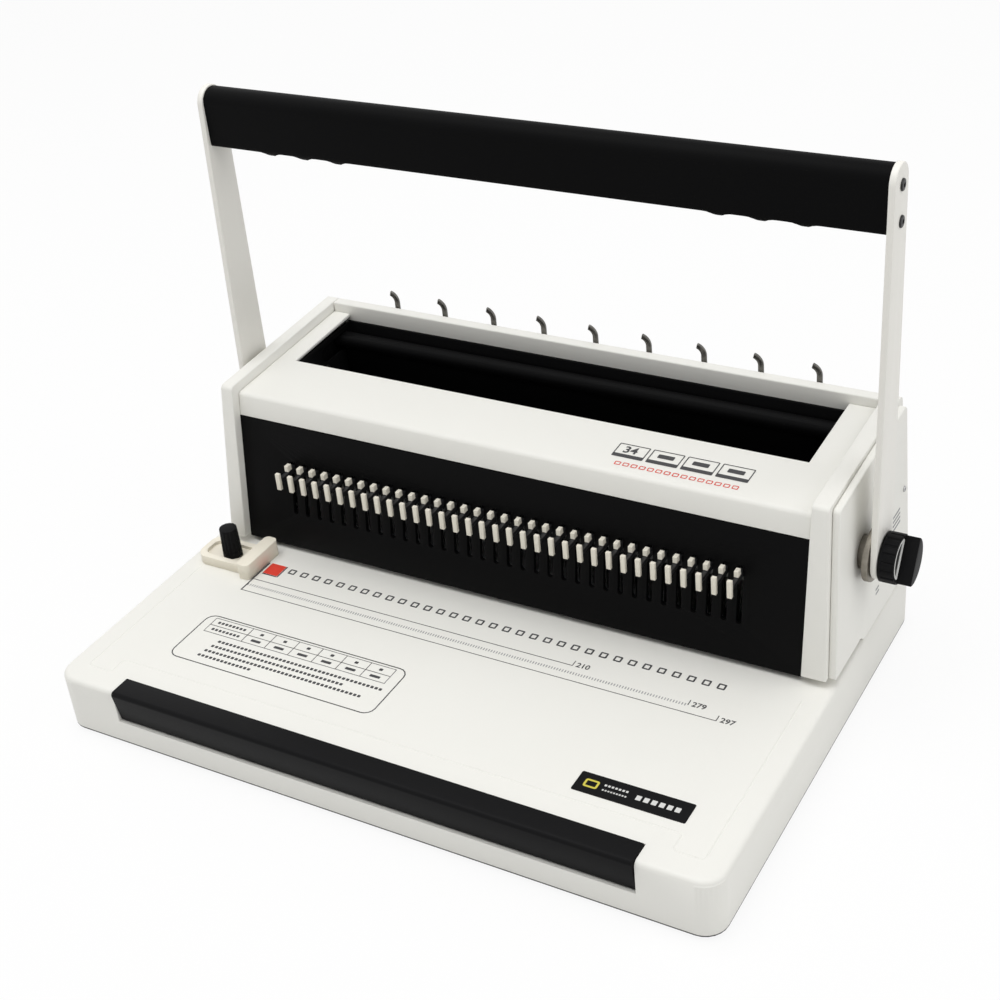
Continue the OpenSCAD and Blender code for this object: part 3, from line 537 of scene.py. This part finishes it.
# Side frames, die, guide, punches, press bar, springs and shaft: the working steel.
# Plate and bar stock, ground on the faces that slide, and turned round the shaft.
def ground_steel(tree, place, surface):
    stretched = Wire.node(tree, "ShaderNodeMapping", {}, {
        "Vector": place, "Scale": (30.0, 900.0, 900.0)})
    lines = grain(tree, stretched, 1.0, 3.0, 0.6)
    surface.inputs["Metallic"].default_value = 1.0
    feed(tree, surface, "Base Color", mixed(tree, lines, (0.36, 0.36, 0.365), (0.52, 0.52, 0.52)))
    feed(tree, surface, "Roughness", 0.28 + lines * 0.18)
    bumped(tree, surface, lines, 0.2, 0.00004)


plain_steel = material("plain_steel", ground_steel)
for part in ("side_frames", "die_plate", "punch_guide", "punches", "press_bar", "return_springs",
             "drive_shaft"):
    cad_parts[part].data.materials.clear()
    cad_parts[part].data.materials.append(plain_steel)

# Front panel, wire trough and closing bar: folded sheet and bar, powder coated black.
# The panel is slotted for the pulls; the trough hangs under the opening of the top cover.
panel_paint = material("panel_paint", moulded((0.0022, 0.0022, 0.0024), (0.0042, 0.0042, 0.0044), 0.5,
                                              1100.0, 0.00008, 0.05))
softened("front_panel", "panel_sheet", 0.00025, "frame", panel_paint, segments=2)
softened("wire_trough", "trough_sheet", 0.0003, "frame", panel_paint, segments=2)
softened("closing_bar", "closing_rod", 0.0003, "closing", panel_paint, segments=2)

# Trough screws: low black heads that hold the trough's end walls to the frames.
# Two at each end, set from inside; the closing blade passes over them.
trough_low, trough_high = (Vector(corner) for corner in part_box("wire_trough"))
trough_wall = 0.0015
trough_screw_in = 0.011
trough_screw_down = 0.019
trough_screw_pitch = 0.019
for side, wall, turn in (("left", trough_low.x + trough_wall, 90),
                         ("right", trough_high.x - trough_wall, -90)):
    trough_head = button_head(0.0030, 0.0008)
    trough_head.transform(Matrix.Rotation(math.radians(turn), 4, "Y"))
    row_of("trough_screws_" + side, trough_head, 2,
           (wall, trough_low.y + trough_screw_in, trough_high.z - trough_screw_down),
           (0.0, trough_screw_pitch, 0.0), black_screw, "frame")


# Pulls: one for each punch, a cream tab and collar moulded on a dark steel blade.
# Each slides in its own slot of the panel and rides up and down with the press bar.
# The colours part at these places, in millimetres along the machine's depth and height; the collar's lower
# part takes the blade's dark colour as painted shade.
tab_back = 7.85
collar_front = 14.95
collar_back = 18.65
collar_shade_top = 92.2


def pull_look(tree, place, surface):
    along, height = (Wire.node(tree, "ShaderNodeSeparateXYZ", {}, {"Vector": place}, axis) * 1000.0
                     for axis in ("Y", "Z"))
    # Below its cream top the collar is dark like the blade: painted shade, not a part line.
    collar = along.above(collar_front) * (collar_back - along).above(0.0) * height.above(collar_shade_top)
    blade_and_collar_shade = along.above(tab_back) * (1.0 - collar)
    fine = grain(tree, place, 1300.0)
    cream = mixed(tree, fine, (0.74, 0.70, 0.60), (0.81, 0.77, 0.67))
    feed(tree, surface, "Base Color", mixed(tree, blade_and_collar_shade, cream, (0.012, 0.012, 0.013)))
    feed(tree, surface, "Roughness", 0.38 + fine * 0.08)
    bumped(tree, surface, fine, 0.2, 0.00005)


pull_finish = material("pull_finish", pull_look)
for number in range(1, 35):
    pull = "pull_%02d" % number
    softened(pull, "pull_tab_%02d" % number, 0.0004, pull, pull_finish, segments=2)

# Tower covers: top, two sides, outer shell and rear wall.
# All are mouldings in the same white plastic as the base, screwed to the frames.
for cover, edge in (("top_cover", 0.0008), ("left_cover", 0.0012), ("right_cover", 0.0003),
                    ("right_shell", 0.0008), ("rear_cover", 0.0009)):
    softened(cover, cover + "_moulding", edge, "frame", white_shell)

# Print on the top cover: four framed boxes and a line of red under them.
# Their words and signs are left out; plain bars and a plain number stand there.
top_high = Vector(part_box("top_cover")[1])
top_tilt = math.radians(2.4)


def top_face(y):
    """The height of the top cover's face, which rises to the rear."""
    return top_high.z - (top_high.y - y) * math.tan(top_tilt)


def top_print(name, shape, count, shift, step, finish):
    """A row of thin prints on the top cover, placed from the first box."""
    shape.transform(Matrix.Rotation(top_tilt, 4, "X"))
    place = box_first + Vector(shift)
    return row_of(name, shape, count, (*place, top_face(place.y) - 0.00001), (step, 0.0, 0.0), finish,
                  "frame")


box_first = Vector((0.0708, 0.0468))
box_step = 0.0196
top_print("top_boxes", flat_frame(0.0178, 0.0122, 0.0006, ink, 0.0006), 4, (0.0, 0.0), box_step, grey_ink)
top_print("top_box_feet", flat_plate(0.0170, 0.0024, ink, 0.0002), 4, (0.0, -0.0044), box_step, grey_ink)
top_print("top_box_bars", flat_plate(0.0092, 0.0034, ink, 0.0005), 3, (box_step, 0.0012), box_step,
          grey_ink)
top_print("red_marks", flat_frame(0.0034, 0.0030, 0.0005, ink, 0.0006), 15, (-0.0022, -0.0118), 0.0047,
          red_ink)
figure_place = box_first + Vector((-0.0048, -0.0016))
figures("top_figures", "34", (*figure_place, top_face(figure_place.y) + ink / 2), 0.0082, grey_ink,
        "frame", top_tilt)


# Hub plate: a turned steel flange behind the right arm, on a sleeve that runs in to the side frame.
# It keeps the arm off the shell and carries the end of the shaft; its steel is painted a dark brown, a
# painted shade for where it sits behind the arm.
def greased(tree, place, surface):
    shade_mottle = grain(tree, place, 240.0, 3.0, 0.6)
    surface.inputs["Metallic"].default_value = 1.0
    # Dark brown colour: painted shade, mottled at random.
    feed(tree, surface, "Base Color", mixed(tree, shade_mottle, (0.16, 0.145, 0.12), (0.36, 0.335, 0.29)))
    feed(tree, surface, "Roughness", 0.4 + shade_mottle * 0.2)
    bumped(tree, surface, shade_mottle, 0.15, 0.00005)


softened("hub_plate", "hub_flange", 0.0004, "frame", material("shade_browned_steel", greased))


# Wire hooks: a comb cut from steel sheet, its fingers curled over; its steel colour is set dark, a painted
# reflection of dark surroundings.
# It is screwed to the rear wall from inside, so its outer face is plain.
def blackened(tree, place, surface):
    worn = grain(tree, place, 160.0, 4.0, 0.65)
    surface.inputs["Metallic"].default_value = 1.0
    # Dark steel colour: a painted reflection of dark surroundings.
    feed(tree, surface, "Base Color", mixed(tree, worn, (0.05, 0.049, 0.047), (0.24, 0.23, 0.21)))
    feed(tree, surface, "Roughness", 0.22 + worn * 0.2)
    bumped(tree, surface, worn, 0.15, 0.00005)


dark_steel = material("dark_steel", blackened)
softened("wire_hooks", "hook_comb", 0.0003, "frame", dark_steel, segments=2)

# Lever: two cream painted steel arms, joined by a black moulded grip with finger bumps.
# Two black screws go through each arm into the grip's end.
cream_paint = material("cream_paint", moulded((0.78, 0.765, 0.715), (0.83, 0.815, 0.765), 0.4, 500.0,
                                              0.00006))
grip_plastic = material("grip_plastic", moulded((0.0026, 0.0026, 0.0028), (0.0050, 0.0050, 0.0052), 0.5,
                                                1200.0, 0.00012, 0.03))
softened("lever_arms", "arm_plates", 0.0006, "lever", cream_paint)
softened("grip", "grip_moulding", 0.0016, "lever", grip_plastic, angle=25.0)
arm_low, arm_high = (Vector(corner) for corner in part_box("lever_arms"))
grip_low, grip_high = (Vector(corner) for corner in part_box("grip"))
grip_y = (grip_low.y + grip_high.y) / 2
grip_screw_down = 0.0095
grip_screw_pitch = 0.0178
for side, face, turn in (("left", arm_low.x, -90), ("right", arm_high.x, 90)):
    arm_head = button_head(0.0030, 0.0011)
    arm_head.transform(Matrix.Rotation(math.radians(turn), 4, "Y"))
    row_of("grip_screws_" + side, arm_head, 2, (face, grip_y, grip_high.z - grip_screw_down),
           (0.0, 0.0, -grip_screw_pitch), black_screw, "lever")

# Dial: a notched black moulding with a half-round finger piece, on a spindle in the end of the shaft.
# One pale half-moon bead lies on its open half: a painted highlight along the edge of the face, made with
# the pale ink.
softened("dial", "dial_moulding", 0.0004, "dial", black_plastic)
dial_low, dial_high = (Vector(corner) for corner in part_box("dial"))
dial_axis = ((dial_low.y + dial_high.y) / 2, (dial_low.z + dial_high.z) / 2)
finger_tall = 0.0072
moon_sunk = 0.0008
moon_x = dial_high.x - finger_tall - moon_sunk
moon_line = 0.0009
moon_r = 0.0101
moon_flat = 0.0009
moon_cut = math.degrees(math.asin(moon_flat / moon_r))
moon_turn = Matrix.Rotation(math.radians(58.0), 2)
moon = [moon_turn @ Vector(point) for point in bend((0.0, 0.0), moon_r, moon_cut, 180 - moon_cut, 18)]
moon_path = [(moon_x, dial_axis[0] + p.x, dial_axis[1] + p.y) for p in moon]
# The pale half-moon is a painted highlight, not print.
piece_of("dial_moon", tube("dial_moon", moon_path, moon_line, True), pale_ink, "dial")

# Marks on the outer shell: a few plain bars beside and below the dial, printed on the moulding.
# They stand where the maker prints the sizes; one small screw holds the shell at its rear.
shell_low, shell_high = (Vector(corner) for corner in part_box("right_shell"))
shell_draft = math.radians(2.5)
quarter = math.radians(90)
mark_pitch = 0.0026
for name, y, height, width, count in (("rows", 0.1115, 0.0470, 0.0120, 4),
                                      ("foot", 0.0795, 0.0200, 0.0052, 2)):
    mark = flat_plate(width, 0.0012, ink, 0.0003)
    mark.transform(Matrix.Rotation(quarter, 4, "Z") @ Matrix.Rotation(quarter, 4, "X"))
    mark.transform(Matrix.Rotation(-shell_draft, 4, "Y"))
    face = shell_high.x - (base_top + height - shell_low.z) * math.tan(shell_draft)
    row_of("shell_marks_" + name, mark, count, (face, y, base_top + height),
           (mark_pitch * math.tan(shell_draft), 0.0, -mark_pitch), light_ink, "frame")
screw_y = 0.1245
screw_up = 0.055
shell_head = button_head(0.0017, 0.0008)
shell_head.transform(Matrix.Rotation(quarter, 4, "Y"))
row_of("shell_screw", shell_head, 1,
       (shell_high.x - screw_up * math.tan(shell_draft), screw_y, base_top + screw_up),
       (0.0, 0.0, 0.0), plain_steel, "frame")

# Floor and light: a white sweep under a broad lamp from above and a softer one from the right.
# The floor and the sky show white to the camera; only the lamps and a dimmer sky light the machine.
floor = bpy.data.meshes.new("floor")
floor.from_pydata([(-4, -4, 0), (4, -4, 0), (4, 4, 0), (-4, 4, 0)], [], [(0, 1, 2, 3)])
floor_object = bpy.data.objects.new("floor", floor)
scene.collection.objects.link(floor_object)


def seen_rays(tree):
    """One for rays that the camera sees straight, mirrored or through glass."""
    path = tree.nodes.new("ShaderNodeLightPath")
    camera, glossy, through = (Wire(tree, path.outputs[name]) for name in (
        "Is Camera Ray", "Is Glossy Ray", "Is Transmission Ray"))
    return (camera + glossy + through).clamp()


def white_floor(tree, place, surface):
    surface.inputs["Base Color"].default_value = (0.86, 0.86, 0.855, 1.0)
    surface.inputs["Roughness"].default_value = 0.8
    glow = Wire.node(tree, "ShaderNodeEmission", {}, {"Color": (1.0, 1.0, 1.0, 1.0), "Strength": 1.0})
    both = Wire.node(tree, "ShaderNodeMixShader", {}, {
        0: seen_rays(tree) * 0.9, 1: Wire(tree, surface.outputs["BSDF"]), 2: glow})
    tree.links.new(both.socket, tree.nodes["Material Output"].inputs["Surface"])


floor.materials.append(material("floor_white", white_floor))

world = bpy.data.worlds.new("studio")
world.use_nodes = True
sky = world.node_tree.nodes["Background"]
sky.inputs["Color"].default_value = (1.0, 1.0, 1.0, 1.0)
world.node_tree.links.new((seen_rays(world.node_tree) * 0.48 + 0.52).socket, sky.inputs["Strength"])
scene.world = world
for name, place, aim, size, power in (
        ("key_lamp", (-0.3, -0.2, 1.9), (0.0, 0.0, 0.1), 1.4, 21.5),
        ("side_lamp", (1.5, 0.1, 1.2), (0.0, 0.0, 0.1), 1.2, 6.5)):
    lamp = bpy.data.lights.new(name, "AREA")
    lamp.size = size
    lamp.energy = power
    lamp_object = bpy.data.objects.new(name, lamp)
    lamp_object.location = place
    lamp_object.rotation_euler = (Vector(aim) - Vector(place)).to_track_quat("-Z", "Y").to_euler()
    scene.collection.objects.link(lamp_object)

scene.view_settings.view_transform = "Standard"
